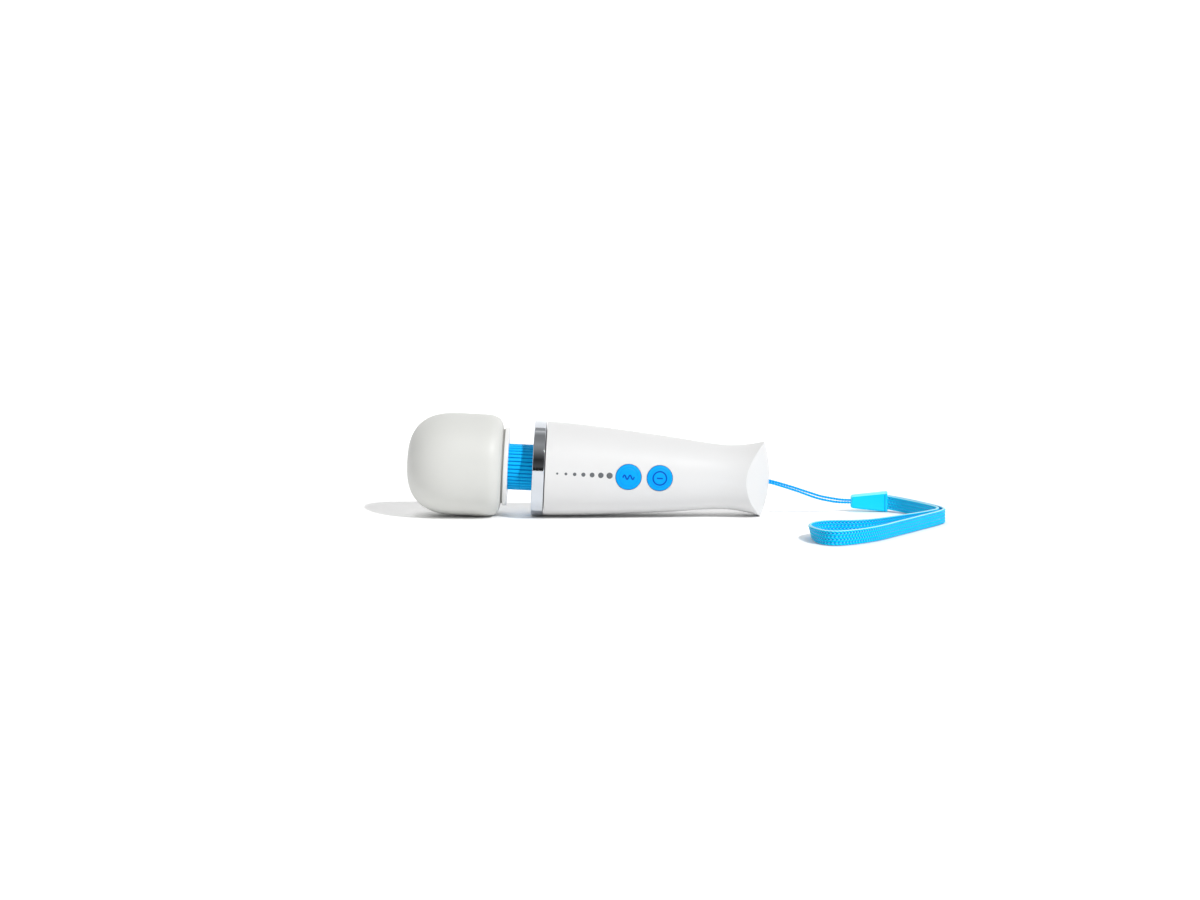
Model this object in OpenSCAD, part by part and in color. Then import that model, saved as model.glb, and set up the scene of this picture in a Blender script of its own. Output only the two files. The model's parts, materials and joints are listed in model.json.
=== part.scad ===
// Cordless handheld wand massager, lying on its side as it rests on a table.
// The wand is drawn along its own +X axis from the tip of the head, with its
// button face towards -Y, and place() then lays it down on the table, z = 0.

/* [Head] */
// Radius of the silicone head cap
cap_r = 24.25; // [23.5:0.05:24.6]
// Thickness of the silicone head cap
cap_wall = 3; // [2.5:0.1:3.2]
// Radius of the flange that closes the head
flange_r = 18.6; // [18.2:0.1:19]

/* [Neck] */
// Radius of the neck sleeve over its ribs
sleeve_r = 10.9; // [10.6:0.1:10.9]
// Number of ribs around the neck sleeve
sleeve_ribs = 36; // [24:2:48]
// Depth of the grooves between the ribs
groove_depth = 0.55; // [0.3:0.05:0.8]

/* [Handle] */
// Wall thickness of the handle shells
shell_wall = 2; // [1.8:0.1:2.1]
// Radius of the bright trim ring
ring_r = 22.6; // [22.5:0.05:22.7]
// Radius of the two buttons
button_r = 6; // [5.5:0.1:6.2]
// How far the buttons stand out of the shell
button_proud = 0.35; // [0.2:0.05:0.5]

/* [Strap] */
// Diameter of the thin loop cord
loop_d = 1.1; // [1:0.05:1.2]
// Width of the flat braid
braid_w = 7; // [6.5:0.1:7]
// Thickness of the flat braid
braid_t = 1.6; // [1.4:0.1:1.7]

/* [Hidden] */
$fn = 96;

// How the wand lies: it rests on the head cap and on the flare of the tail
tilt = 2.8;
rest_z = 25.9;
origin_x = 85.8;

// Stations along the wand
nose_len = 25;
cap_rear_x = 34;
cap_rear_len = 11.2;
cap_lip_r = 16.3;
nose_power = 2.7;
rear_power = 3.5;
rear_centre_r = 14;
gasket_x = 45.25;
gasket_r = 17.6;
flange_x = 45.9;
flange_end_x = 48;
ring_x = 59.7;
ring_end_x = 65.4;
shell_x = 65.8;
tail_x = 172;
keys_end_x = 176;

// Head fittings
head_shell_t = 2;
cap_fit = 0.05;
spigot_r = 16;
spigot_x = 41;
spigot_bore_r = 13.5;
base_floor_x = 43.5;
stub_end_x = 50.5;

// Motor
can_r = 12;
can_wall = 1;
can_x = 17.5;
can_end_x = 37;
shaft_r = 1;
bush_clear = 0.03;
weight_r = 10;
weight_x = 10;
weight_end_x = 15.6;
holder_r = 13.4;
holder_x = 20;
holder_end_x = 36;
fin_r = 18.9;
magnet_end_x = 33;
magnet_bore_r = 10;
magnet_gap = 9;
end_cap_x = 39.5;
bush_r = 2;
bush_len = 2;
armature_x = 20.5;
armature_end_x = 32.5;
armature_r = 9.6;
slot_w = 2.4;
commutator_r = 2.3;

// Neck fittings
stub_r = 8.4;
spring_pocket_r = 6.8;
sleeve_slot_r = 11.1;
sleeve_x = 46.5;
sleeve_len = 14.5;
spring_r = 6;
spring_wire_r = 0.6;
lead_hole_r = 4;
plate_r = 20.8;
barrel_r = 18.7;
barrel_end_x = 72;
barrel_bore_r = 16.2;
collar_groove_r = 17.6;

// Handle insides
battery_r = 9.2;
battery_y = 4.5;
battery_x = 72.5;
battery_len = 65;
tab_t = 0.4;
board_y = -9;
board_t = 1.6;
board_x = 78;
board_end_x = 130;
board_half_w = 9.5;
mode_x = 105;
power_x = 119.7;
button_gap = 0.2;
flange_drop = shell_wall + 0.1;
switch_top_y = -14.1;
plunger_r = 1.7;
plunger_top_y = -14.9;
jack_x = 143;
jack_bore_r = 1.8;
jack_bore_len = 10;
jack_nose_r = 3;
jack_face_y = 14.6;
screw_spots = [[77, 14], [77, -14], [152, 0]];
screw_seat_y = 6;
screw_r = 1.25;
screw_head_r = 2.5;
screw_head_t = 1.8;
boss_r = 2.9;
strap_hole_z = -1.2;
pin_x = 165;
pin_r = 1;
pin_half = 7.5;
strap_hole_r = 1.7;

// Overshoot of cutting shapes
far = 30;

// Radius of the handle at stations along the wand
handle_keys = [[65.8, 22.4], [80, 21.75], [100, 20.15], [125, 17.8], [143, 15.8],
               [152, 15.3], [160, 15.9], [168, 17.6], [176, 20]];
// The tail face is a parabola in plan and an arc in side view
tail_curve = 0.0446;
tail_arc_r = 52;

// Routes in the table's frame. The upper and lower strands of the loop cord run
// from the strap pin to the bead.
upper_route = [[79.2, 0, 17.3], [82.5, 0.1, 17.3], [86.4, 0.2, 16.9], [96.4, 3.4, 13.6],
               [105.4, 6.6, 10.3], [111.4, 8.8, 8.2], [117.4, 10.9, 6.8], [122, 12.4, 6],
               [127, 13.6, 5.7]];
lower_route = [[79.2, 0, 15.3], [82.5, -0.1, 15.4], [86.2, -0.2, 15.6], [94, 2.4, 12.9],
               [100.8, 4.8, 10.4], [108.4, 7.6, 7.7], [114.4, 9.8, 6], [120, 11.9, 4.9],
               [127, 13.6, 4.5]];
// The braid stands on its edge: out of the bead, round the loop and back
braid_route = [[138, 13.1, 5], [144, 12, 4.6], [150, 7.2, 4], [156, -1.4, 3.7], [161, -11, 3.6],
               [164, -20, 3.6], [163.2, -26.4, 3.6], [160, -31.6, 3.6], [155, -37.8, 3.6],
               [148.5, -44.6, 3.6], [142, -51, 3.6], [136, -57, 3.6], [129, -62.6, 3.6],
               [121.5, -65.8, 3.6], [112, -66.4, 3.6], [105.4, -69.6, 3.6], [101.6, -77, 3.6],
               [101.8, -88, 3.6], [105, -98.6, 3.6], [111, -102.6, 3.6], [119, -98.6, 3.6],
               [127.5, -90.6, 3.6], [134, -82, 3.6], [141, -70.4, 3.6], [148, -59.4, 3.6],
               [155.5, -47, 3.6], [162.5, -35.6, 3.6], [166.6, -26, 3.6], [165.6, -17.5, 3.6],
               [162, -8.4, 3.6], [157, 1.4, 3.7], [151, 10, 4], [144.6, 14.9, 4.6],
               [138, 15.1, 5]];
bead_y = 14.1;
bead_z = 5;
bead_x = 125.9;
bead_len = 17.6;

// Leads inside the wand, in the wand's own frame
motor_lead_route = [[39.9, 0, 5], [42, 0, 3.4], [44.5, 0, 1.7], [48, 0, 1], [54, 0, 1], [60, 0, 1],
                    [64, -0.6, 1.6], [68, -3.4, 2.6], [72, -6.6, 3], [76, -8, 3], [80, -8.3, 3]];
plus_lead_route = [[73, -5.6, -5.5], [74.5, -7.4, -6], [77, -8.2, -6], [80, -8.3, -6]];
minus_lead_route = [[137.2, -5.4, 2], [135, -7.4, 2.6], [131, -8.2, 3], [128.5, -8.3, 3]];
charge_lead_route = [[141, 1.6, -1.5], [140.2, -2.4, -2], [137.6, -6.6, -3], [133, -8.2, -3.6],
                     [128.5, -8.3, -4]];
lead_r = 0.5;

// ---- Helpers ----

// Lays the wand on the table
module place() translate([-origin_x, 0, rest_z]) rotate([0, tilt, 0]) children();

// Turns a profile of [radius, station] points about the wand's axis
module spin(profile) rotate([0, 90, 0]) rotate_extrude() polygon(profile);

module rod(x0, x1, r) translate([x0, 0, 0]) rotate([0, 90, 0]) cylinder(h = x1 - x0, r = r);

module tube(x0, x1, r_out, r_in)
  difference() {
    rod(x0, x1, r_out);
    rod(x0 - 1, x1 + 1, r_in);
  }

// A rod along Y, through station x and height z
module cross_rod(x, z, y0, y1, r)
  translate([x, y0, z]) rotate([-90, 0, 0]) cylinder(h = y1 - y0, r = r);

module block(x0, x1, y0, y1, z0, z1)
  translate([x0, y0, z0]) cube([x1 - x0, y1 - y0, z1 - z0]);

function unit(v) = v / norm(v);

// Cubic curve through [x, r] keys
function key_at(keys, x, i = 0) =
  i >= len(keys) - 2 || x < keys[i + 1][0] ? i : key_at(keys, x, i + 1);
function key_slope(keys, i) =
  let (a = keys[max(i - 1, 0)], b = keys[min(i + 1, len(keys) - 1)])
  (b[1] - a[1]) / (b[0] - a[0]);
function smooth(keys, x) =
  let (i = key_at(keys, x), a = keys[i], b = keys[i + 1], h = b[0] - a[0], t = (x - a[0]) / h)
  (2 * t ^ 3 - 3 * t ^ 2 + 1) * a[1] + (t ^ 3 - 2 * t ^ 2 + t) * h * key_slope(keys, i)
  + (3 * t ^ 2 - 2 * t ^ 3) * b[1] + (t ^ 3 - t ^ 2) * h * key_slope(keys, i + 1);

// Smooth route through hand-chosen points, with n steps between two of them
function route_point(p, i, t) =
  let (a = p[max(i - 1, 0)], b = p[i], c = p[i + 1], d = p[min(i + 2, len(p) - 1)])
  0.5 * (2 * b + (c - a) * t + (2 * a - 5 * b + 4 * c - d) * t ^ 2
         + (3 * b - a - 3 * c + d) * t ^ 3);
function route(p, n) =
  [for (i = [0:len(p) - 2], k = [0:n - 1]) route_point(p, i, k / n), p[len(p) - 1]];

function ring_of(r, sides) = [for (k = [0:sides - 1]) r * [cos(k * 360 / sides), sin(k * 360 / sides)]];

// Sweeps a closed section along a path, holding its second axis near up
module sweep(path, section, up = [0, 0, 1]) {
  n = len(path);
  m = len(section);
  points = [for (i = [0:n - 1])
    let (t = unit(path[min(i + 1, n - 1)] - path[max(i - 1, 0)]),
         side = unit(cross(up, t)), top = cross(t, side))
    for (s = section) path[i] + s[0] * side + s[1] * top];
  walls = [for (i = [0:n - 2], k = [0:m - 1])
    let (a = i * m + k, b = i * m + (k + 1) % m) [[a, a + m, b + m], [a, b + m, b]]];
  polyhedron(points, concat(
    [[for (k = [0:m - 1]) k]],
    [for (pair = walls, f = pair) f],
    [[for (k = [m - 1:-1:0]) (n - 1) * m + k]]), convexity = 6);
}

// Outline of the head cap, set in from its outer surface
function cap_outline(inset, steps = 24) = concat(
  [for (k = [0:steps])
    let (a = 90 * k / steps)
    [(cap_r - inset) * sin(a) ^ (2 / nose_power),
     nose_len - (nose_len - inset) * cos(a) ^ (2 / nose_power)]],
  [for (k = [0:steps])
    let (a = 90 * k / steps)
    [rear_centre_r + (cap_r - rear_centre_r - inset) * cos(a) ^ (2 / rear_power),
     cap_rear_x + (cap_rear_len - inset) * sin(a) ^ (2 / rear_power)]],
  [[0, cap_rear_x + cap_rear_len - inset]]);

// Outline of the handle, set in from its outer surface
function handle_outline(inset, x0, x1, steps) = concat(
  [[0, x0]],
  [for (k = [0:steps]) let (x = x0 + (x1 - x0) * k / steps) [smooth(handle_keys, x) - inset, x]],
  [[0, x1]]);

// The convex face that ends the handle, drawn as a solid to keep
module tail_form(inset) {
  half = 21;
  steps = 28;
  translate([tail_x - tail_arc_r - inset, 0, 0]) rotate([-90, 0, 0]) rotate_extrude()
    polygon(concat(
      [[0, -half]],
      [for (k = [0:steps]) let (y = half * (2 * k / steps - 1)) [tail_arc_r - tail_curve * y ^ 2, y]],
      [[0, half]]));
  block(50, 132, -30, 30, -30, 30);
}

module handle_solid(inset, steps)
  intersection() {
    spin(handle_outline(inset, shell_x, keys_end_x, steps));
    tail_form(inset * 1.3);
  }

// ---- Head ----

module head_cap()
  color("gainsboro") place() difference() {
    spin(cap_outline(0));
    spin(cap_outline(cap_wall, 16));
    rod(40, 50, cap_lip_r);
  }

module head_shell()
  color("whitesmoke") place() difference() {
    spin(cap_outline(cap_wall + cap_fit, 16));
    spin(cap_outline(cap_wall + head_shell_t, 12));
    rod(38, 50, spigot_r + cap_fit);
  }

module head_gasket()
  color("dimgray") place() tube(gasket_x, flange_x - cap_fit, gasket_r, spigot_r + cap_fit);

module head_base()
  color("white") place() difference() {
    spin([[0, base_floor_x], [spigot_bore_r, base_floor_x], [spigot_bore_r, spigot_x],
          [spigot_r, spigot_x], [spigot_r, flange_x], [flange_r - 0.4, flange_x],
          [flange_r, flange_x + 0.4], [flange_r, flange_end_x - 0.6], [flange_r - 0.6, flange_end_x],
          [stub_r, flange_end_x], [stub_r, stub_end_x], [0, stub_end_x]]);
    rod(40, 60, lead_hole_r);
    rod(46, 60, spring_pocket_r);
    tube(sleeve_x, 49, sleeve_slot_r, stub_r);
  }

module motor_holder()
  color("darkslategray") place() difference() {
    union() {
      tube(holder_x, holder_end_x, holder_r, can_r);
      for (k = [0:5]) rotate([60 * k + 30, 0, 0])
        block(holder_x + 1, holder_end_x - 1, -1, 1, holder_r - 0.6, fin_r);
    }
    rod(10, 45, can_r);
  }

module motor_can()
  color("silver") place() difference() {
    union() {
      rod(can_x, can_end_x, can_r);
      rod(can_x - 1.2, can_x + bush_len, 3.2);
    }
    rod(can_x + can_wall, can_end_x + 1, can_r - can_wall);
    rod(10, 25, bush_r);
  }

module motor_magnets()
  color("dimgray") place() difference() {
    tube(holder_x, magnet_end_x, can_r - can_wall, magnet_bore_r);
    block(15, 40, -far, far, -magnet_gap / 2, magnet_gap / 2);
  }

module motor_end_cap()
  color("black") place() {
    difference() {
      rod(can_end_x, end_cap_x, can_r);
      rod(30, end_cap_x - 0.2, bush_r);
    }
    difference() {
      rod(36.2, can_end_x, can_r - can_wall);
      rod(30, 45, 2.6);
    }
  }

module motor_bushes()
  color("goldenrod") place() {
    for (x = [can_x - 1, can_end_x + 0.2]) tube(x, x + bush_len, bush_r, shaft_r + bush_clear);
  }

module motor_shaft() color("lightgray") place() rod(weight_x - 0.4, end_cap_x - 0.5, shaft_r);

module armature()
  color("slategray") place() difference() {
    rod(armature_x, armature_end_x, armature_r);
    rod(15, 40, shaft_r);
    for (k = [0:2]) rotate([120 * k, 0, 0]) block(15, 40, -slot_w / 2, slot_w / 2, 3.5, can_r);
  }

module commutator() color("peru") place() tube(armature_end_x + 0.1, 36, commutator_r, shaft_r);

module eccentric_weight()
  color("darkgoldenrod") place() difference() {
    union() {
      difference() {
        rod(weight_x, weight_end_x, weight_r);
        block(5, 20, -far, far, 0, far);
      }
      rod(weight_x, weight_end_x, 2.8);
    }
    rod(5, 20, shaft_r);
  }

// ---- Neck ----

module neck_sleeve()
  color("dodgerblue") place() difference() {
    translate([sleeve_x, 0, 0]) rotate([0, 90, 0]) linear_extrude(sleeve_len)
      polygon([for (k = [0:sleeve_ribs - 1], s = [0:3])
        let (a = (k + [0.14, 0.5, 0.64, 1][s] - 0.32) * 360 / sleeve_ribs,
             r = s < 2 ? sleeve_r : sleeve_r - groove_depth)
        r * [cos(a), sin(a)]]);
    rod(40, 70, stub_r + 0.15);
  }

module neck_spring() {
  turns = 6;
  per_turn = 16;
  x0 = 46.7;
  pitch = 14.6 / turns;
  color("silver") place() sweep(
    [for (k = [0:turns * per_turn])
      let (a = 360 * k / per_turn)
      [x0 + pitch * k / per_turn, spring_r * cos(a), spring_r * sin(a)]],
    ring_of(spring_wire_r, 8), up = [1, 0, 0]);
}

module lead(points) sweep(route(points, 2), ring_of(lead_r, 8));

module motor_lead_red() color("red") place() lead(motor_lead_route);

module motor_lead_black() color("black") place() mirror([0, 0, 1]) lead(motor_lead_route);

// ---- Handle ----

module neck_mount()
  color("white") place() difference() {
    union() {
      rod(57.5, 62, stub_r);
      rod(60.4, 62.4, plate_r);
      rod(62.3, barrel_end_x, barrel_r);
    }
    rod(50, 80, lead_hole_r);
    rod(50, 62, spring_pocket_r);
    tube(50, 61.2, sleeve_slot_r, stub_r);
    rod(64.4, 80, barrel_bore_r);
    tube(67, 69.1, 25, collar_groove_r);
  }

module trim_ring()
  color("lightsteelblue") place() spin([
    [19.8, ring_x], [ring_r - 0.5, ring_x], [ring_r, ring_x + 0.5], [ring_r, ring_end_x - 0.3],
    [ring_r - 0.3, ring_end_x], [plate_r, ring_end_x], [plate_r, ring_x + 0.6], [19.8, ring_x + 0.6]]);

// One half of the handle: side is -1 for the button half, +1 for the other
module shell_half(side)
  intersection() {
    difference() {
      union() {
        difference() {
          handle_solid(0, 40);
          handle_solid(shell_wall, 14);
          rod(60, shell_x + 1, 19);
        }
        tube(62.6, 67.1, 20.7, 18.9);
        tube(67, 69, 20.7, 17.7);
        intersection() {
          union() {
            for (s = screw_spots) cross_rod(s[0], s[1], -far, far, boss_r);
            for (k = [-1, 1]) cross_rod(pin_x, strap_hole_z, k < 0 ? -14 : 3, k < 0 ? -3 : 14, 2.4);
          }
          handle_solid(0.6, 14);
        }
      }
      cross_rod(pin_x, strap_hole_z, -pin_half, pin_half, pin_r);
      translate([0, 0, strap_hole_z]) rod(160, 180, strap_hole_r);
    }
    block(50, 180, side < 0 ? -far : 0, side < 0 ? 0 : far, -far, far);
  }

module front_shell()
  color("white") place() difference() {
    shell_half(-1);
    for (x = [mode_x, power_x]) cross_rod(x, 0, -far, -12, button_r + button_gap);
    for (s = screw_spots) cross_rod(s[0], s[1], -8, 5, screw_r);
  }

module rear_shell()
  color("white") place() difference() {
    shell_half(1);
    for (s = screw_spots) {
      cross_rod(s[0], s[1], -5, 10, screw_r + 0.15);
      cross_rod(s[0], s[1], screw_seat_y, far, screw_head_r + 0.2);
    }
    cross_rod(jack_x, 0, 5, far, jack_nose_r + 0.1);
  }

module shell_screws()
  color("silver") place() for (s = screw_spots) difference() {
    union() {
      cross_rod(s[0], s[1], -7, screw_seat_y + 1, screw_r);
      cross_rod(s[0], s[1], screw_seat_y, screw_seat_y + screw_head_t, screw_head_r);
    }
    for (k = [0, 90]) translate([s[0], screw_seat_y + screw_head_t, s[1]]) rotate([0, k, 0])
      cube([3, 1.6, 0.5], center = true);
  }

module screw_plugs()
  color("white") place() difference() {
    intersection() {
      for (s = screw_spots) cross_rod(s[0], s[1], 8, far, screw_head_r + 0.1);
      spin(handle_outline(0.15, shell_x, 160, 24));
    }
    spin(handle_outline(1.6, shell_x, 160, 14));
  }

// A button that follows the shell's surface, with a flange that keeps it in
module button_form(x)
  difference() {
    union() {
      intersection() {
        cross_rod(x, 0, -far, -10, button_r);
        spin(handle_outline(-button_proud, x - 10, x + 10, 8));
      }
      intersection() {
        cross_rod(x, 0, -far, -8, button_r + 1.3);
        spin(handle_outline(flange_drop, x - 10, x + 10, 8));
      }
    }
    spin(handle_outline(flange_drop + 0.9, x - 12, x + 12, 8));
  }

module button(x) {
  button_form(x);
  cross_rod(x, 0, flange_drop + 0.5 - smooth(handle_keys, x), plunger_top_y, 2);
}

module mode_button() color("deepskyblue") place() button(mode_x);

module power_button() color("deepskyblue") place() button(power_x);

module plunger(x) cross_rod(x, 0, plunger_top_y, switch_top_y + 0.6, plunger_r);

module mode_plunger() color("black") place() plunger(mode_x);

module power_plunger() color("black") place() plunger(power_x);

module switch_bodies()
  color("dimgray") place() for (x = [mode_x, power_x]) difference() {
    block(x - 3, x + 3, switch_top_y, board_y - board_t, -3, 3);
    cross_rod(x, 0, -20, switch_top_y + 1.4, plunger_r + 0.05);
  }

module circuit_board()
  color("green") place() difference() {
    block(board_x, board_end_x, board_y - board_t, board_y, -board_half_w, board_half_w);
    for (x = [board_x + 2.5, board_end_x - 2.5]) cross_rod(x, 7.5, -15, -5, 1.1);
  }

module board_chips()
  color("black") place() {
    block(86, 92, board_y - board_t - 1.4, board_y - board_t, -3.5, 2.5);
    block(94.5, 98.5, board_y - board_t - 1.8, board_y - board_t, 1.5, 5.5);
    block(94.5, 97.5, board_y - board_t - 1, board_y - board_t, -5, -3);
    block(110.5, 114, board_y - board_t - 1.4, board_y - board_t, 3, 7);
    for (z = [-7, -4.5, -2, 0.5])
      block(110.8, 112.8, board_y - board_t - 0.8, board_y - board_t, z, z + 1.2);
  }

module battery_cell()
  color("royalblue") place() translate([0, battery_y, 0])
    rod(battery_x, battery_x + battery_len, battery_r);

module battery_tabs()
  color("silver") place() {
    block(battery_x - tab_t, battery_x, -6.2, 5.5, -6.5, -1.5);
    block(battery_x + battery_len, battery_x + battery_len + tab_t, -6, 5.5, -0.5, 4.5);
  }

module battery_cradle()
  color("gray") place() {
    difference() {
      translate([0, battery_y, 0]) tube(75, 134, battery_r + 1.2, battery_r + 0.1);
      block(70, 140, battery_y - 3, 40, -far, far);
    }
    for (x = [84, 124], z = [-3.5, 3.5]) cross_rod(x, z, board_y, battery_y - battery_r - 0.7, 1.2);
  }

module battery_leads()
  color("red") place() {
    lead(plus_lead_route);
    lead(minus_lead_route);
  }

module charge_leads()
  color("black") place() {
    lead(charge_lead_route);
    translate([3.4, 0, 3]) lead([for (p = charge_lead_route) [p[0] - (p[1] < -8 ? 3.4 : 0), p[1], p[2]]]);
  }

module charge_jack()
  color("black") place() difference() {
    union() {
      block(jack_x - 3.5, jack_x + 3.5, 2, 12, -3.5, 3.5);
      cross_rod(jack_x, 0, 11, jack_face_y, jack_nose_r);
    }
    cross_rod(jack_x, 0, jack_face_y - jack_bore_len, far, jack_bore_r);
  }

module strap_pin()
  color("silver") place() cross_rod(pin_x, strap_hole_z, -pin_half, pin_half, pin_r);

// ---- Strap, in the table's frame ----

module loop_cord(points) color("dodgerblue") sweep(route(points, 2), ring_of(loop_d / 2, 8));

module loop_cord_upper() loop_cord(upper_route);

module loop_cord_lower() loop_cord(lower_route);

module strap_bead()
  color("cyan") hull() {
    translate([bead_x, bead_y - 0.6, bead_z]) bead_end(1.2, 2.4, 0.8);
    translate([bead_x + 1, bead_y - 0.5, bead_z]) bead_end(1.7, 3.1, 0.8);
    translate([bead_x + bead_len - 0.4, bead_y, bead_z]) bead_end(2.6, 5, 0.9);
  }

// A thin rounded slice across the bead
module bead_end(half_y, half_z, corner)
  rotate([0, 90, 0]) linear_extrude(0.4) hull()
    for (y = [-1, 1], z = [-1, 1])
      translate([z * (half_z - corner), y * (half_y - corner)]) circle(corner, $fn = 24);

module wrist_strap()
  color("deepskyblue") sweep(route(braid_route, 1), 0.5 * [
    [-braid_t, 0.4 - braid_w], [0, -braid_w], [braid_t, 0.4 - braid_w],
    [braid_t, braid_w - 0.4], [0, braid_w], [-braid_t, braid_w - 0.4]]);

head_cap();
head_shell();
head_gasket();
head_base();
motor_holder();
motor_can();
motor_magnets();
motor_end_cap();
motor_bushes();
motor_shaft();
armature();
commutator();
eccentric_weight();
neck_sleeve();
neck_spring();
motor_lead_red();
motor_lead_black();
neck_mount();
trim_ring();
front_shell();
rear_shell();
shell_screws();
screw_plugs();
battery_cell();
battery_cradle();
battery_tabs();
circuit_board();
board_chips();
switch_bodies();
mode_button();
mode_plunger();
power_button();
power_plunger();
battery_leads();
charge_leads();
charge_jack();
strap_pin();
loop_cord_upper();
loop_cord_lower();
strap_bead();
wrist_strap();
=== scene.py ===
"""Looks of a cordless handheld wand massager with its wrist strap.

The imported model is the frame. Lengths below are in millimetres unless a name says otherwise, and
stations run along the wand's own axis from the tip of its head.
"""

import json
import math

import bmesh
import bpy
from mathutils import Matrix, Vector


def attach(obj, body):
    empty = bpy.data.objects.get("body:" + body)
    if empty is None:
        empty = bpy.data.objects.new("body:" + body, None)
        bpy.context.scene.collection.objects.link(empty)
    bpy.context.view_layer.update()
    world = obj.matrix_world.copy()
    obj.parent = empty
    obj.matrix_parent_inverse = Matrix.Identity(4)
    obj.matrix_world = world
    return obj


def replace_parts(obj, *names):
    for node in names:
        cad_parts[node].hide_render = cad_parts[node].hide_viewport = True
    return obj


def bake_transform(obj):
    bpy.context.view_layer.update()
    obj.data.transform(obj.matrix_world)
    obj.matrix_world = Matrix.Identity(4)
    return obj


MM = 0.001

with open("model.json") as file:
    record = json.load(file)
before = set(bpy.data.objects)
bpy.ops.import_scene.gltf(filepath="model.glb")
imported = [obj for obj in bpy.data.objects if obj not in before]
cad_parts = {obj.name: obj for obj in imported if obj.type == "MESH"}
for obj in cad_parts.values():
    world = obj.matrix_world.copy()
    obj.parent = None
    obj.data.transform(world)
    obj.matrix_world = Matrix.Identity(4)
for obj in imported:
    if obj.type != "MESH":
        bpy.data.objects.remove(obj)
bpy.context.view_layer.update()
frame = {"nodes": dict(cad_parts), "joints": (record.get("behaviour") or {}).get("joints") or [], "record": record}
nodes = frame["nodes"]
joints = {j["name"]: j for j in frame["joints"]}

# ---- The wand's own frame, from the axis that the rotor turns about ----

ROTOR_STATION = 26
NECK_STATION = 54
wand_x = Vector(joints["rotor_spin"]["axis"]).normalized()
wand_y = Vector((0, 1, 0))
wand_z = wand_x.cross(wand_y)
wand_tip = Vector(joints["rotor_spin"]["pos_m"]) - wand_x * ROTOR_STATION * MM
PLACE = Matrix.Translation(wand_tip) @ Matrix((wand_x, wand_y, wand_z)).transposed().to_4x4() \
    @ Matrix.Scale(MM, 4)


# ---- Camera ----

AZIMUTH = 0.0
ELEVATION = math.radians(6.5)
DISTANCE = 1.583
LENS = 100.0
SENSOR_WIDTH = 36.0
AIM = Vector((0.0057, 0.0, 0.0314))


def add_camera():
    data = bpy.data.cameras.new("camera")
    data.lens = LENS
    data.sensor_width = SENSOR_WIDTH
    camera = bpy.data.objects.new("camera", data)
    bpy.context.scene.collection.objects.link(camera)
    level = math.cos(ELEVATION)
    back = Vector((-math.sin(AZIMUTH) * level, -math.cos(AZIMUTH) * level, math.sin(ELEVATION)))
    camera.location = AIM + back * DISTANCE
    camera.rotation_euler = (-back).to_track_quat("-Z", "Y").to_euler()
    bpy.context.scene.camera = camera


add_camera()

# ---- Materials ----


def socket(shader, name, value):
    shader.inputs[name].default_value = value


def link(tree, a, a_name, b, b_name):
    tree.links.new(a.outputs[a_name], b.inputs[b_name])


COAT_ROUGH = 0.05
PLASTIC_IOR = 1.5
SCATTER_MM = 2.0
BLOTCH_DETAIL = 4.0
GRAIN_DETAIL = 3.0
LOWEST_ROUGH = 0.02


def finish(name, color, rough, metallic=0.0, coat=0.0, mottle=0.03, mottle_scale=60.0,
           grain=0.1, grain_scale=2500.0, grain_depth=0.02, rough_spread=0.05,
           stretch=(1, 1, 1), subsurface=0.0, specular=0.5):
    """A plastic, rubber or metal with uneven colour, uneven gloss and a fine surface grain."""
    m = bpy.data.materials.new(name)
    m.use_nodes = True
    tree = m.node_tree
    shader = tree.nodes["Principled BSDF"]
    socket(shader, "Metallic", metallic)
    socket(shader, "Coat Weight", coat)
    socket(shader, "Coat Roughness", COAT_ROUGH)
    socket(shader, "IOR", PLASTIC_IOR)
    socket(shader, "Specular IOR Level", specular)
    if subsurface:
        socket(shader, "Subsurface Weight", subsurface)
        socket(shader, "Subsurface Scale", SCATTER_MM * MM)
        socket(shader, "Subsurface Radius", (1.0, 1.0, 1.0))

    place = tree.nodes.new("ShaderNodeTexCoord")
    mapping = tree.nodes.new("ShaderNodeMapping")
    mapping.inputs["Scale"].default_value = stretch
    link(tree, place, "Object", mapping, "Vector")

    blotch = tree.nodes.new("ShaderNodeTexNoise")
    blotch.inputs["Scale"].default_value = mottle_scale
    blotch.inputs["Detail"].default_value = BLOTCH_DETAIL
    link(tree, mapping, "Vector", blotch, "Vector")
    mix = tree.nodes.new("ShaderNodeMix")
    mix.data_type = "RGBA"
    dark = [c * (1 - mottle) for c in color]
    light = [min(1.0, c * (1 + mottle)) for c in color]
    mix.inputs["A"].default_value = (*dark, 1)
    mix.inputs["B"].default_value = (*light, 1)
    link(tree, blotch, "Fac", mix, "Factor")
    link(tree, mix, "Result", shader, "Base Color")

    spread = tree.nodes.new("ShaderNodeMapRange")
    spread.inputs["To Min"].default_value = max(LOWEST_ROUGH, rough - rough_spread)
    spread.inputs["To Max"].default_value = min(1.0, rough + rough_spread)
    link(tree, blotch, "Fac", spread, "Value")
    link(tree, spread, "Result", shader, "Roughness")

    fine = tree.nodes.new("ShaderNodeTexNoise")
    fine.inputs["Scale"].default_value = grain_scale
    fine.inputs["Detail"].default_value = GRAIN_DETAIL
    link(tree, mapping, "Vector", fine, "Vector")
    bump = tree.nodes.new("ShaderNodeBump")
    bump.inputs["Strength"].default_value = grain
    bump.inputs["Distance"].default_value = grain_depth * MM
    link(tree, fine, "Fac", bump, "Height")
    link(tree, bump, "Normal", shader, "Normal")
    return m


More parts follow.
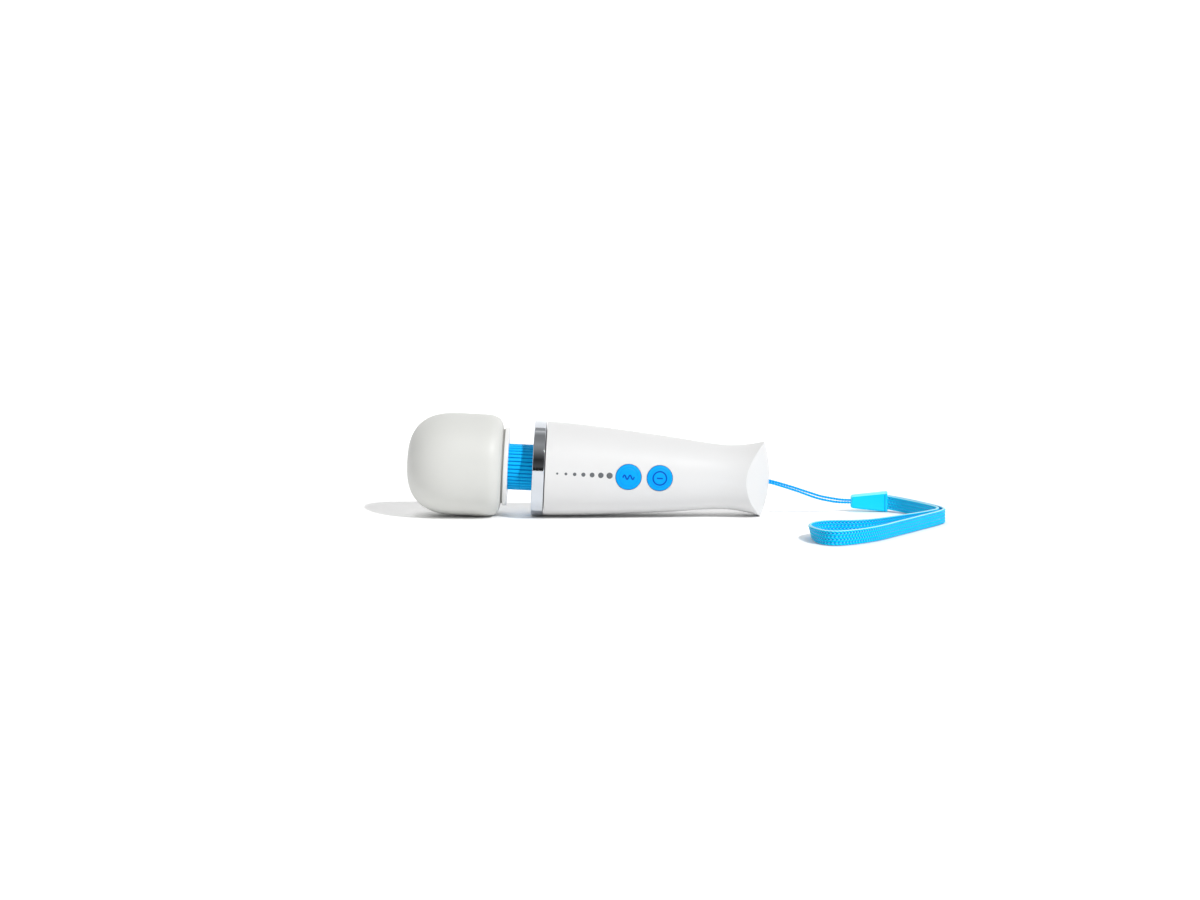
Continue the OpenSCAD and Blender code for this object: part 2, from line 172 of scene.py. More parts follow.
MATERIALS = {
    "cap_silicone": finish("cap_silicone", (0.665, 0.67, 0.645), 0.5, mottle=0.012, grain=0.25,
                           subsurface=0.05),
    "white_gloss": finish("white_gloss", (0.745, 0.745, 0.745), 0.38, coat=0.04, specular=0.2,
                          mottle=0.008, grain=0.05, grain_scale=900, rough_spread=0.03),
    "flange_white": finish("flange_white", (0.8, 0.8, 0.795), 0.3, coat=0.06, mottle=0.008,
                           grain=0.05, grain_scale=900, rough_spread=0.03),
    "inner_white": finish("inner_white", (0.75, 0.75, 0.74), 0.5, mottle=0.02),
    "gasket_black": finish("gasket_black", (0.36, 0.36, 0.34), 0.7),
    "sleeve_blue": finish("sleeve_blue", (0.0, 0.49, 1.0), 0.5, mottle=0.03, grain=0.05, specular=0.1),
    "chrome_trim": finish("chrome_trim", (0.69, 0.72, 0.76), 0.06, metallic=1.0, mottle=0.02,
                          grain=0.04, rough_spread=0.02),
    "button_blue": finish("button_blue", (0.0, 0.37, 1.0), 0.45, mottle=0.02, grain=0.15, specular=0.1),
    "holder_rubber": finish("holder_rubber", (0.03, 0.035, 0.04), 0.6),
    "motor_steel": finish("motor_steel", (0.55, 0.56, 0.58), 0.3, metallic=1.0,
                          stretch=(1, 12, 12), grain=0.3),
    "magnet_ferrite": finish("magnet_ferrite", (0.03, 0.03, 0.035), 0.7, grain=0.5),
    "plastic_black": finish("plastic_black", (0.02, 0.02, 0.02), 0.45, grain=0.3),
    "bush_bronze": finish("bush_bronze", (0.55, 0.35, 0.15), 0.4, metallic=1.0, grain=0.6),
    "shaft_steel": finish("shaft_steel", (0.65, 0.65, 0.68), 0.15, metallic=1.0,
                          stretch=(40, 1, 1), grain=0.2),
    "armature_iron": finish("armature_iron", (0.35, 0.2, 0.12), 0.45, metallic=0.8,
                            stretch=(30, 1, 1), mottle=0.25, grain=0.6),
    "commutator_copper": finish("commutator_copper", (0.8, 0.4, 0.25), 0.25, metallic=1.0),
    "weight_brass": finish("weight_brass", (0.75, 0.55, 0.22), 0.3, metallic=1.0, grain=0.4),
    "spring_steel": finish("spring_steel", (0.5, 0.5, 0.52), 0.25, metallic=1.0),
    "wire_red": finish("wire_red", (0.6, 0.02, 0.015), 0.4),
    "wire_black": finish("wire_black", (0.015, 0.015, 0.015), 0.4),
    "screw_steel": finish("screw_steel", (0.55, 0.55, 0.55), 0.3, metallic=1.0, mottle=0.1),
    "cell_wrap": finish("cell_wrap", (0.02, 0.12, 0.45), 0.2, mottle=0.05, coat=0.3),
    "cradle_grey": finish("cradle_grey", (0.3, 0.3, 0.31), 0.5),
    "tab_nickel": finish("tab_nickel", (0.7, 0.68, 0.62), 0.3, metallic=1.0, mottle=0.08),
    "board_green": finish("board_green", (0.01, 0.12, 0.04), 0.3, mottle=0.2, mottle_scale=300),
    "chip_black": finish("chip_black", (0.02, 0.02, 0.02), 0.5, grain=0.4),
    "cord_blue": finish("cord_blue", (0.0, 0.44, 1.0), 0.5, mottle=0.1, mottle_scale=900,
                        specular=0.15),
    "bead_cyan": finish("bead_cyan", (0.0, 0.68, 1.0), 0.35, mottle=0.02, specular=0.25),
    "print_grey": finish("print_grey", (0.12, 0.13, 0.14), 0.4),
    "braid_blue": finish("braid_blue", (0.0, 0.8, 1.0), 0.36, mottle=0.06, mottle_scale=900, grain=0.6,
                         grain_scale=6000, grain_depth=0.05, specular=0.06),
}


def tint(m, share, color):
    """Mixes a second colour into a material where the mesh's own share of it is high."""
    tree = m.node_tree
    shader = tree.nodes["Principled BSDF"]
    stored = tree.nodes.new("ShaderNodeAttribute")
    stored.attribute_name = share
    mix = tree.nodes.new("ShaderNodeMix")
    mix.data_type = "RGBA"
    tree.links.new(stored.outputs["Fac"], mix.inputs["Factor"])
    tree.links.new(shader.inputs["Base Color"].links[0].from_socket, mix.inputs["A"])
    mix.inputs["B"].default_value = (*color, 1)
    tree.links.new(mix.outputs["Result"], shader.inputs["Base Color"])


# painted shade goes into what lies deep, and the "rim" share paints highlights on top edges and small gaps
for slot, share, color in (("button_blue", "painted_shade", (0.0, 0.09, 0.5)),
                           ("braid_blue", "painted_shade", (0.0, 0.2, 0.8)),
                           ("braid_blue", "rim", (0.5, 0.9, 1.0)),
                           ("cord_blue", "painted_shade", (0.0, 0.2, 0.8)),
                           ("sleeve_blue", "painted_shade", (0.0, 0.17, 0.6)),
                           ("bead_cyan", "painted_shade", (0.0, 0.4, 0.85)),
                           ("bead_cyan", "rim", (0.3, 0.95, 1.0))):
    tint(MATERIALS[slot], share, color)


def dress_frame():
    """Gives every node of the frame its slot's material."""
    slots = {s["node"]: s["material_slot"] for s in frame["record"]["subparts"]}
    for name, o in nodes.items():
        o.data.materials.clear()
        o.data.materials.append(MATERIALS[slots[name]])


dress_frame()

# ---- Mesh tools ----


TABLE = Matrix.Scale(MM, 4)


def new_piece(name, points, faces, slot, matrix=PLACE):
    """A smooth mesh from points in the wand's frame, or with TABLE in millimetres of the row frame."""
    mesh = bpy.data.meshes.new(name)
    mesh.from_pydata([matrix @ Vector(p) for p in points], [], faces)
    mesh.validate()
    for polygon in mesh.polygons:
        polygon.use_smooth = True
    o = bpy.data.objects.new(name, mesh)
    bpy.context.scene.collection.objects.link(o)
    mesh.materials.append(MATERIALS[slot])
    return o


def mark(o, name, values):
    """Stores how much of a second colour each point takes, before anything is welded."""
    share = o.data.attributes.new(name, "FLOAT", "POINT")
    share.data.foreach_set("value", values)


def bevel(o, width, angle=30.0, segments=2):
    """Rounds the sharp edges of a piece and keeps the broad faces' shading."""
    m = o.modifiers.new("edges", "BEVEL")
    m.width = width * MM
    m.segments = segments
    m.limit_method = "ANGLE"
    m.angle_limit = math.radians(angle)
    m.use_clamp_overlap = True
    w = o.modifiers.new("shading", "WEIGHTED_NORMAL")
    w.keep_sharp = False


def grid_faces(rows, columns, closed=False, start=0, flip=False):
    """Quads between rows of points. closed joins the last column to the first."""
    faces = []
    for i in range(rows - 1):
        for k in range(columns if closed else columns - 1):
            a = start + i * columns + k
            b = start + i * columns + (k + 1) % columns
            quad = (a, b, b + columns, a + columns)
            faces.append(quad[::-1] if flip else quad)
    return faces


def lathe(name, profile, slot, around=192):
    """A closed profile of (station, radius) points turned about the wand's axis."""
    points = []
    for x, r in profile:
        for k in range(around):
            a = 2 * math.pi * k / around
            points.append((x, r * math.sin(a), r * math.cos(a)))
    points += points[:around]
    faces = grid_faces(len(profile) + 1, around, closed=True)
    o = new_piece(name, points, faces, slot)
    weld(o)
    return o


def weld(o, distance=0.001):
    """Joins points that coincide and turns every face outwards."""
    b = bmesh.new()
    b.from_mesh(o.data)
    bmesh.ops.remove_doubles(b, verts=b.verts, dist=distance * MM)
    bmesh.ops.dissolve_degenerate(b, edges=b.edges, dist=distance * MM)
    bmesh.ops.recalc_face_normals(b, faces=b.faces)
    b.to_mesh(o.data)
    b.free()


def arc(cx, cr, radius, start, end, steps=6):
    """Points on a round corner in a (station, radius) profile, angles in degrees from +station."""
    return [(cx + radius * math.cos(math.radians(start + (end - start) * k / steps)),
             cr + radius * math.sin(math.radians(start + (end - start) * k / steps)))
            for k in range(steps + 1)]


def cubic_keys(keys, x):
    """The smooth curve through (station, radius) keys."""
    i = 0
    while i < len(keys) - 2 and x >= keys[i + 1][0]:
        i += 1

    def slope(j):
        a, b = keys[max(j - 1, 0)], keys[min(j + 1, len(keys) - 1)]
        return (b[1] - a[1]) / (b[0] - a[0])

    (x0, r0), (x1, r1) = keys[i], keys[i + 1]
    h = x1 - x0
    t = (x - x0) / h
    return ((2 * t ** 3 - 3 * t ** 2 + 1) * r0 + (t ** 3 - 2 * t ** 2 + t) * h * slope(i)
            + (3 * t ** 2 - 2 * t ** 3) * r1 + (t ** 3 - t ** 2) * h * slope(i + 1))


# ---- Head ----

CAP_R = 24.25
CAP_WALL = 3.0
NOSE_LEN = 25.0
CAP_REAR_X = 34.0
CAP_REAR_LEN = 11.2
CAP_LIP_R = 16.3
REAR_CENTRE_R = 14.0
FLANGE_R = 18.6
FLANGE_X = 45.9
FLANGE_END_X = 48.0
STUB_R = 8.4
STUB_END_X = 50.5
SLEEVE_SEAT_R = 11.1
SLEEVE_SEAT_X = 46.5
SPRING_POCKET_R = 6.8
SPRING_POCKET_X = 46.0
LEAD_HOLE_R = 4.0
SPIGOT_R = 16.0
SPIGOT_BORE_R = 13.5
SPIGOT_X = 41.0
BASE_FLOOR_X = 43.5
NOSE_POWER = 2.7
REAR_POWER = 3.5


def cap_outline(inset, steps=72):
    """The head cap's outline from its tip to its rear lip, set in from the outer surface."""
    turns = [math.pi / 2 * k / steps for k in range(steps + 1)]
    outline = []
    for a in turns:
        outline.append((NOSE_LEN - (NOSE_LEN - inset) * max(math.cos(a), 0) ** (2 / NOSE_POWER),
                        (CAP_R - inset) * math.sin(a) ** (2 / NOSE_POWER)))
    for a in turns:
        fall = max(math.cos(a), 0) ** (2 / REAR_POWER)
        r = REAR_CENTRE_R + (CAP_R - REAR_CENTRE_R - inset) * fall
        if r > CAP_LIP_R:
            x = CAP_REAR_X + (CAP_REAR_LEN - inset) * math.sin(a) ** (2 / REAR_POWER)
            outline.append((x, r))
    return outline


def add_head():
    outer = cap_outline(0)
    inner = cap_outline(CAP_WALL)
    cap = lathe("silicone_head_cap", outer + inner[::-1], "cap_silicone", around=256)
    bevel(cap, 0.25)
    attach(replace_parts(cap, "head_cap"), "head")

    round_r = 0.5
    flange = lathe("head_base_flange",
                   [(BASE_FLOOR_X, LEAD_HOLE_R), (BASE_FLOOR_X, SPIGOT_BORE_R),
                    (SPIGOT_X, SPIGOT_BORE_R), (SPIGOT_X, SPIGOT_R), (FLANGE_X, SPIGOT_R)]
                   + arc(FLANGE_X + round_r, FLANGE_R - round_r, round_r, 180, 90)
                   + arc(FLANGE_END_X - round_r, FLANGE_R - round_r, round_r, 90, 0)
                   + [(FLANGE_END_X, SLEEVE_SEAT_R), (SLEEVE_SEAT_X, SLEEVE_SEAT_R),
                      (SLEEVE_SEAT_X, STUB_R), (STUB_END_X, STUB_R), (STUB_END_X, SPRING_POCKET_R),
                      (SPRING_POCKET_X, SPRING_POCKET_R), (SPRING_POCKET_X, LEAD_HOLE_R)],
                   "flange_white")
    bevel(flange, 0.12, 50)
    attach(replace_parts(flange, "head_base"), "head")


add_head()

# ---- Neck ----

SLEEVE_R = 10.9
SLEEVE_RIBS = 36
GROOVE_DEPTH = 0.55
SLEEVE_X = (SLEEVE_SEAT_X, 61.0)
SLEEVE_FIT = 0.2
RIB_SHARE = 0.62
RIB_CROWN = 0.05
RIB_EDGE = 0.02
SPRING_X = (46.7, 61.3)
SPRING_TURNS = 6


def rib_height(turn):
    """How far out the sleeve stands at a share of one rib's pitch: a round rib and a narrow groove."""
    s = abs((turn % 1.0) - 0.5) * 2
    if s < RIB_SHARE:
        return -RIB_CROWN * s * s
    wall = math.sin(math.pi / 2 * (s - RIB_SHARE) / (1 - RIB_SHARE)) ** 1.5
    return -RIB_EDGE - (GROOVE_DEPTH - RIB_EDGE) * wall


def sleeve_half(name, x0, x1, rows=14, per_rib=16):
    """The ribbed sleeve's outer and inner skins between two stations, closed at both ends."""
    columns = SLEEVE_RIBS * per_rib
    points = []
    depth = []
    for skin in (0, 1):
        for i in range(rows + 1):
            x = x0 + (x1 - x0) * i / rows
            for k in range(columns):
                a = 2 * math.pi * k / columns
                r = STUB_R + SLEEVE_FIT if skin else SLEEVE_R + rib_height(k / per_rib)
                points.append((x, r * math.sin(a), r * math.cos(a)))
                depth.append(min(1.0, -rib_height(k / per_rib) / GROOVE_DEPTH))
    size = (rows + 1) * columns
    faces = grid_faces(rows + 1, columns, closed=True)
    faces += grid_faces(rows + 1, columns, closed=True, start=size, flip=True)
    for row in (0, rows):
        for k in range(columns):
            a, b = row * columns + k, row * columns + (k + 1) % columns
            faces.append((a, b, b + size, a + size))
    o = new_piece(name, points, faces, "sleeve_blue")
    # the grooves take a painted shade, darker where they are deeper
    mark(o, "painted_shade", depth)
    weld(o)
    return o


def add_coil(name, x0, x1, start_turn, turns, mean_r=6.0, wire_r=0.6, per_turn=48, sides=12):
    """A stretch of the neck's coil spring."""
    points = []
    count = int(turns * per_turn)
    for i in range(count + 1):
        a = 2 * math.pi * (start_turn + turns * i / count)
        centre = Vector((x0 + (x1 - x0) * i / count, mean_r * math.cos(a), mean_r * math.sin(a)))
        out = Vector((0, math.cos(a), math.sin(a)))
        for k in range(sides):
            b = 2 * math.pi * k / sides
            points.append(centre + out * wire_r * math.cos(b)
                          + Vector((wire_r * math.sin(b), 0, 0)))
    faces = grid_faces(count + 1, sides, closed=True)
    faces.append(tuple(range(sides)))
    faces.append(tuple(range(count * sides, (count + 1) * sides)))
    o = new_piece(name, points, faces, "spring_steel")
    weld(o)
    return o


def catmull(points, steps):
    """A smooth route through points, with that many steps between two of them."""
    p = [Vector(q) for q in points]
    out = []
    for i in range(len(p) - 1):
        a, b, c, d = p[max(i - 1, 0)], p[i], p[i + 1], p[min(i + 2, len(p) - 1)]
        for k in range(steps):
            t = k / steps
            out.append(0.5 * (2 * b + (c - a) * t + (2 * a - 5 * b + 4 * c - d) * t ** 2
                              + (3 * b - a - 3 * c + d) * t ** 3))
    return out + [p[-1]]


def sweep(path, section_at, up=Vector((0, 0, 1))):
    """Points and faces of a tube along path. section_at(i) lists (side, top) offsets."""
    points = []
    for i, centre in enumerate(path):
        t = (path[min(i + 1, len(path) - 1)] - path[max(i - 1, 0)]).normalized()
        side = up.cross(t).normalized()
        top = t.cross(side)
        section = section_at(i)
        points += [centre + side * s + top * h for s, h in section]
    count = len(section)
    faces = grid_faces(len(path), count, closed=True)
    faces.append(tuple(range(count)))
    faces.append(tuple(range((len(path) - 1) * count, len(path) * count)))
    return points, faces


def ring(radius, sides):
    """Offsets of a round tube's points."""
    return [(radius * math.cos(2 * math.pi * k / sides), radius * math.sin(2 * math.pi * k / sides))
            for k in range(sides)]


LEAD_ROUTE = [(39.9, 0, 5), (42, 0, 3.4), (44.5, 0, 1.7), (48, 0, 1), (54, 0, 1), (60, 0, 1),
              (64, -0.6, 1.6), (68, -3.4, 2.6), (72, -6.6, 3), (76, -8, 3), (80, -8.3, 3)]
LEAD_R = 0.5


def add_neck():
    first_x, last_x = SPRING_X
    share = (NECK_STATION - first_x) / (last_x - first_x)
    rear = [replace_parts(sleeve_half("neck_sleeve_rear", NECK_STATION, SLEEVE_X[1]), "neck_sleeve")]
    front = [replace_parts(sleeve_half("neck_sleeve_front", SLEEVE_X[0], NECK_STATION), "neck_sleeve")]
    o = add_coil("neck_spring_front", first_x, NECK_STATION, 0, SPRING_TURNS * share)
    front.append(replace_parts(o, "neck_spring"))
    o = add_coil("neck_spring_rear", NECK_STATION, last_x, SPRING_TURNS * share,
                 SPRING_TURNS * (1 - share))
    rear.append(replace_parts(o, "neck_spring"))
    for colour, mirror in (("red", 1), ("black", -1)):
        route = [Vector((p.x, p.y, p.z * mirror)) for p in catmull(LEAD_ROUTE, 8)]
        middle_index = min(range(len(route)), key=lambda i: abs(route[i].x - NECK_STATION))
        for end, part, group in (("front", route[:middle_index + 1], front),
                                 ("rear", route[middle_index:], rear)):
            points, faces = sweep(part, lambda i: ring(LEAD_R, 12))
            o = new_piece(f"motor_lead_{colour}_{end}", points, faces, f"wire_{colour}")
            weld(o)
            group.append(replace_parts(o, f"motor_lead_{colour}"))
    for o in rear:
        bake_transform(o)
    for o in front:
        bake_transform(o)


add_neck()

# ---- Handle ----

RING_R = 22.6
RING_X = (59.7, 65.4)
PLATE_R = 20.8
PLATE_SEAT_X = 0.6
RING_BORE_R = 19.8
SHELL_X = 65.8
SHELL_WALL = 2.0
TAIL_X = 172.0
TAIL_ARC = 52.0
TAIL_CURVE = 0.0446
TAIL_WALL = 1.3 * SHELL_WALL
STRAP_HOLE_R = 1.7
STRAP_HOLE_Z = -1.2
HANDLE_KEYS = [(65.8, 22.4), (80, 21.75), (100, 20.15), (125, 17.8), (143, 15.8),
               (152, 15.3), (160, 15.9), (168, 17.6), (176, 20)]
MODE_X = 105.0
POWER_X = 119.7
BUTTON_R = 6.0
BUTTON_GAP = 0.2
SCREW_SPOTS = [(77, 14), (77, -14), (152, 0)]
SCREW_HOLE_R = 2.7
JACK_X = 143.0
JACK_HOLE_R = 3.1
COLUMNS = 144
# stations where both halves have a row of points
SHARED_ROWS = (72.5, 156.5)


def handle_radius(x):
    """Radius of the round handle at a station."""
    return cubic_keys(HANDLE_KEYS, x)


def tail_face(y, z, inset=0.0):
    """Station of the handle's convex end face."""
    reach = TAIL_ARC - TAIL_CURVE * y * y
    return TAIL_X - inset - TAIL_ARC + math.sqrt(max(reach * reach - z * z, 0))


def tail_edge(angle, wall, tail_wall):
    """Station where the handle's side, set in by wall, meets its end face."""
    low, high = 140.0, 176.0
    for _ in range(50):
        x = (low + high) / 2
        r = handle_radius(x) - wall
        if tail_face(r * math.sin(angle), r * math.cos(angle), tail_wall) > x:
            low = x
        else:
            high = x
    return (low + high) / 2


def hole_patch(x, z, radius, half_x, half_z):
    """A round hole along Y and the patch of the shell's grid that makes room for it."""
    r = handle_radius(x)
    return {"x": x, "z": z, "radius": radius, "x0": x - half_x, "x1": x + half_x,
            "k0": round(COLUMNS * math.acos(min(1, (z + half_z) / r)) / math.pi),
            "k1": round(COLUMNS * math.acos((z - half_z) / r) / math.pi)}


def stations(breaks, pitch=0.8):
    """Stations about one pitch apart that include every break."""
    out = [breaks[0]]
    for a, b in zip(breaks, breaks[1:]):
        n = max(1, round((b - a) / pitch))
        out += [a + (b - a) * (k + 1) / n for k in range(n)]
    return out


def shell_skin(side, wall, patches):
    """One skin of a half shell. side is -1 for the button half. Returns points and faces."""
    tail_wall = TAIL_WALL if wall else 0.0
    breaks = {SHELL_X, *SHARED_ROWS}
    for p in patches:
        breaks.update((p["x0"], p["x1"]))
    breaks = sorted(breaks)
    rows = stations(breaks)
    straight = len(rows)
    slanted = 14
    cap_rows = 22
    angles = [math.pi * k / COLUMNS for k in range(COLUMNS + 1)]
    edges = [tail_edge(a, wall, tail_wall) for a in angles]
    points = []
    for i in range(straight + slanted):
        for a, edge in zip(angles, edges):
            past = max(0, i - straight + 1) / slanted
            x = rows[min(i, straight - 1)] + (edge - rows[-1]) * past
            r = handle_radius(x) - wall
            points.append((x, side * r * math.sin(a), r * math.cos(a)))
    for i in range(1, cap_rows + 1):
        s = i / cap_rows
        for a, edge in zip(angles, edges):
            r = handle_radius(edge) - wall
            reach = r + (STRAP_HOLE_R - r) * s
            y = side * math.sin(a) * reach
            z = math.cos(a) * reach + STRAP_HOLE_Z * s
            points.append((tail_face(y, z, tail_wall), y, z))
    width = COLUMNS + 1
    total = straight + slanted + cap_rows
    removed = set()
    rings = []
    for p in patches:
        i0, i1 = rows.index(p["x0"]), rows.index(p["x1"])
        k0, k1 = p["k0"], p["k1"]
        for i in range(i0, i1):
            removed.update((i, k) for k in range(k0, k1))
        loop = [(i0, k) for k in range(k0, k1)] + [(i, k1) for i in range(i0, i1)]
        loop += [(i1, k) for k in range(k1, k0, -1)] + [(i, k0) for i in range(i1, i0, -1)]
        rings.append((p, [i * width + k for i, k in loop]))
    faces = [(i * width + k, i * width + k + 1, (i + 1) * width + k + 1, (i + 1) * width + k)
             for i in range(total - 1) for k in range(width - 1) if (i, k) not in removed]
    for p, loop in rings:
        steps = 7
        previous = loop
        for s in range(1, steps + 1):
            current = []
            for corner in loop:
                x, _, z = points[corner]
                centre = Vector((p["x"], p["z"]))
                away = Vector((x, z)) - centre
                # the outer rings keep the patch's outline and the last one is the round hole
                t = (s / steps) ** 0.8
                target = away.normalized() * p["radius"]
                px, pz = centre + away.lerp(target, t)
                r = handle_radius(px) - wall
                current.append(len(points))
                points.append((px, side * math.sqrt(max(r * r - pz * pz, 0)), pz))
            count = len(loop)
            faces += [(previous[k], previous[(k + 1) % count], current[(k + 1) % count], current[k])
                      for k in range(count)]
            previous = current
    return points, faces


def shell_piece(name, node, side, patches):
    """One half of the handle: two skins joined along every border."""
    outer, faces = shell_skin(side, 0.0, patches)
    inner, _ = shell_skin(side, SHELL_WALL, patches)
    count = len(outer)
    edges = dict.fromkeys((a, b) for f in faces for a, b in zip(f, f[1:] + f[:1]))
    walls = [(b, a, a + count, b + count) for a, b in edges if (b, a) not in edges]
    inside = [tuple(v + count for v in f[::-1]) for f in faces]
    o = new_piece(name, outer + inner, faces + inside + walls, "white_gloss")
    weld(o)
    bevel(o, 0.16, 32, 3)
    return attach(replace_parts(o, node), "handle")


def add_handle():
    front_holes = [hole_patch(x, 0, BUTTON_R + BUTTON_GAP, 7.35, 7.8) for x in (MODE_X, POWER_X)]
    rear_holes = [hole_patch(x, z, SCREW_HOLE_R, 4.5, 4.2) for x, z in SCREW_SPOTS]
    rear_holes.append(hole_patch(JACK_X, 0, JACK_HOLE_R, 4.5, 4.4))
    shell_piece("front_handle_shell", "front_shell", -1, front_holes)
    shell_piece("rear_handle_shell", "rear_shell", 1, rear_holes)

    round_r = 0.55
    trim = lathe("chrome_trim_ring",
                 [(RING_X[0], RING_BORE_R)]
                 + arc(RING_X[0] + round_r, RING_R - round_r, round_r, 180, 90)
                 + arc(RING_X[1] - round_r, RING_R - round_r, round_r, 90, 0)
                 + [(RING_X[1], PLATE_R), (RING_X[0] + PLATE_SEAT_X, PLATE_R),
                    (RING_X[0] + PLATE_SEAT_X, RING_BORE_R)],
                 "chrome_trim", around=256)
    bevel(trim, 0.1, 50)
    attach(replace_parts(trim, "trim_ring"), "handle")


add_handle()

# ---- Buttons ----

BUTTON_PROUD = 0.35
BUTTON_CROWN = 0.25
BUTTON_ROUND = 0.55
SYMBOL_WIDTH = 0.34
SYMBOL_DEPTH = 0.22
SYMBOL_SOFTNESS = 0.16
FACE_GROOVE_R = 4.4
FACE_GROOVE_WIDTH = 0.2
FACE_GROOVE_DEPTH = 0.1
POWER_RING_R = 3.15
POWER_BAR_HALF = 1.1
WAVE_LENGTH = 5.2
WAVE_HEIGHT = 0.95
WAVE_STEPS = 32
BUTTON_BASE_Y = 12.5


def bar_distance(x, z, x0, z0, x1, z1):
    """Distance in the button's face to a straight stroke."""
    ax, az = x1 - x0, z1 - z0
    t = max(0.0, min(1.0, ((x - x0) * ax + (z - z0) * az) / (ax * ax + az * az)))
    return math.hypot(x - x0 - ax * t, z - z0 - az * t)


def power_symbol(x, z):
    """A ring with a short bar in it."""
    bar = bar_distance(x, z, -POWER_BAR_HALF, 0, POWER_BAR_HALF, 0)
    return min(abs(math.hypot(x, z) - POWER_RING_R), bar)


WAVE_LINE = [(WAVE_LENGTH * (k / WAVE_STEPS - 0.5),
              WAVE_HEIGHT * math.sin(4 * math.pi * k / WAVE_STEPS)) for k in range(WAVE_STEPS + 1)]


def wave_symbol(x, z):
    """A smooth wave along the handle, for the button that changes the rhythm."""
    return min(bar_distance(x, z, *a, *b) for a, b in zip(WAVE_LINE, WAVE_LINE[1:]))


def add_button(name, node, body, station, symbol, rings=64, around=224):
    """A crowned button that follows the shell, with its symbol sunk into the face."""
    points = []
    sunk = []
    radii = [BUTTON_R * (k / rings) ** 0.92 for k in range(rings + 1)]
    for rho in radii:
        for k in range(around):
            a = 2 * math.pi * k / around
            x, z = rho * math.cos(a), rho * math.sin(a)
            rim = max(0.0, rho - (BUTTON_R - BUTTON_ROUND)) / BUTTON_ROUND
            drop = BUTTON_ROUND * (1 - math.sqrt(max(0.0, 1 - rim * rim)))
            groove = FACE_GROOVE_DEPTH * math.exp(-((rho - FACE_GROOVE_R) / FACE_GROOVE_WIDTH) ** 2)
            edge = (SYMBOL_WIDTH - symbol(x, z)) / SYMBOL_SOFTNESS
            cut = 1 / (1 + math.exp(-4 * max(-8, min(8, edge))))
            # the sunk symbol and the face groove take a painted shade
            sunk.append(max(cut, 2 * groove))
            r = handle_radius(station + x)
            crown = BUTTON_CROWN * (1 - (rho / BUTTON_R) ** 2)
            y = math.sqrt(r * r - z * z) + BUTTON_PROUD + crown
            points.append((station + x, -(y - drop - groove - SYMBOL_DEPTH * cut), z))
    for k in range(around):
        a = 2 * math.pi * k / around
        points.append((station + BUTTON_R * math.cos(a), -BUTTON_BASE_Y, BUTTON_R * math.sin(a)))
        sunk.append(0.0)
    faces = grid_faces(rings + 2, around, closed=True)
    faces.append(tuple(range((rings + 1) * around, (rings + 2) * around)))
    o = new_piece(name, points, faces, "button_blue")
    mark(o, "painted_shade", sunk)
    weld(o)
    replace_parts(o, node)
    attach(o, body)
    return o


MARK_COUNT = 7
MARK_X = 71.5
MARK_Z = 0.4
MARK_PITCH = 4.1
MARK_R = 0.5
MARK_GROWTH = 0.16
MARK_LIFTS = (0.03, -0.05)


def add_level_marks():
    """A row of growing dots printed between the ring and the buttons, in place of lettering."""
    points, faces = [], []
    around, rings = 40, 4
    for i in range(MARK_COUNT):
        centre = MARK_X + MARK_PITCH * i
        radius = MARK_R + MARK_GROWTH * i
        for lift in MARK_LIFTS:
            for j in range(rings + 1):
                rho = radius * j / rings
                for k in range(around):
                    a = 2 * math.pi * k / around
                    x, z = centre + rho * math.cos(a), MARK_Z + rho * math.sin(a)
                    r = handle_radius(x) + lift
                    points.append((x, -math.sqrt(r * r - z * z), z))
        size = (rings + 1) * around
        start = 2 * i * size
        faces += grid_faces(rings + 1, around, closed=True, start=start)
        faces += grid_faces(rings + 1, around, closed=True, start=start + size, flip=True)
        for k in range(around):
            a, b = start + rings * around + k, start + rings * around + (k + 1) % around
            faces.append((a, b, b + size, a + size))
    o = new_piece("level_marks", points, faces, "print_grey")
    weld(o)
    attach(o, "handle")


add_button("mode_button_cap", "mode_button", "mode_button", MODE_X, wave_symbol)
add_button("power_button_cap", "power_button", "power_button", POWER_X, power_symbol)
add_level_marks()

# ---- Strap: thin loop cord, bead and flat braid, in millimetres of the row frame ----

UPPER_ROUTE = [(79.2, 0, 17.3), (82.5, 0.1, 17.1), (86.4, 0.2, 16.8), (96.4, 3.4, 13.6),
               (105.4, 6.6, 10.3), (111.4, 8.8, 8.2), (117.4, 10.9, 6.8), (122, 12.4, 6),
               (127, 13.6, 5.7)]
LOWER_ROUTE = [(79.2, 0, 15.3), (82.5, -0.1, 15.7), (86.2, -0.2, 15.8), (94, 2.4, 13.25),
               (100.8, 4.8, 10.75), (108.4, 7.6, 7.7), (114.4, 9.8, 6), (120, 11.9, 4.9),
               (127, 13.6, 4.5)]
BRAID_ROUTE = [(138, 13.1, 5), (144, 12, 4.6), (150, 7.2, 4), (156, -1.4, 3.7), (161, -11, 3.6),
               (164, -20, 3.6), (163.2, -26.4, 3.6), (160, -31.6, 3.6), (155, -37.8, 3.6),
               (148.5, -44.6, 3.6), (142, -51, 3.6), (136, -57, 3.6), (129, -62.6, 3.6),
               (121.5, -65.8, 3.6), (112, -66.4, 3.6), (105.4, -69.6, 3.6), (101.6, -77, 3.6),
               (101.8, -88, 3.6), (105, -98.6, 3.6), (111, -102.6, 3.6), (119, -98.6, 3.6),
               (127.5, -90.6, 3.6), (134, -82, 3.6), (141, -70.4, 3.6), (148, -59.4, 3.6),
               (155.5, -47, 3.6), (162.5, -35.6, 3.6), (166.6, -26, 3.6), (165.6, -17.5, 3.6),
               (162, -8.4, 3.6), (157, 1.4, 3.7), (151, 10, 4), (144.6, 14.9, 4.6), (138, 15.1, 5)]
LOOP_D = 1.1
BRAID_W = 7.0
BRAID_T = 1.6
BRAID_ROWS = 5
BRAID_STITCH = 1.7
BRAID_RELIEF = 0.34
# strengths of the painted highlights in the braid's gaps and on top edges
GAP_GLINT = 0.6
TOP_EDGE_HIGHLIGHT = 0.8
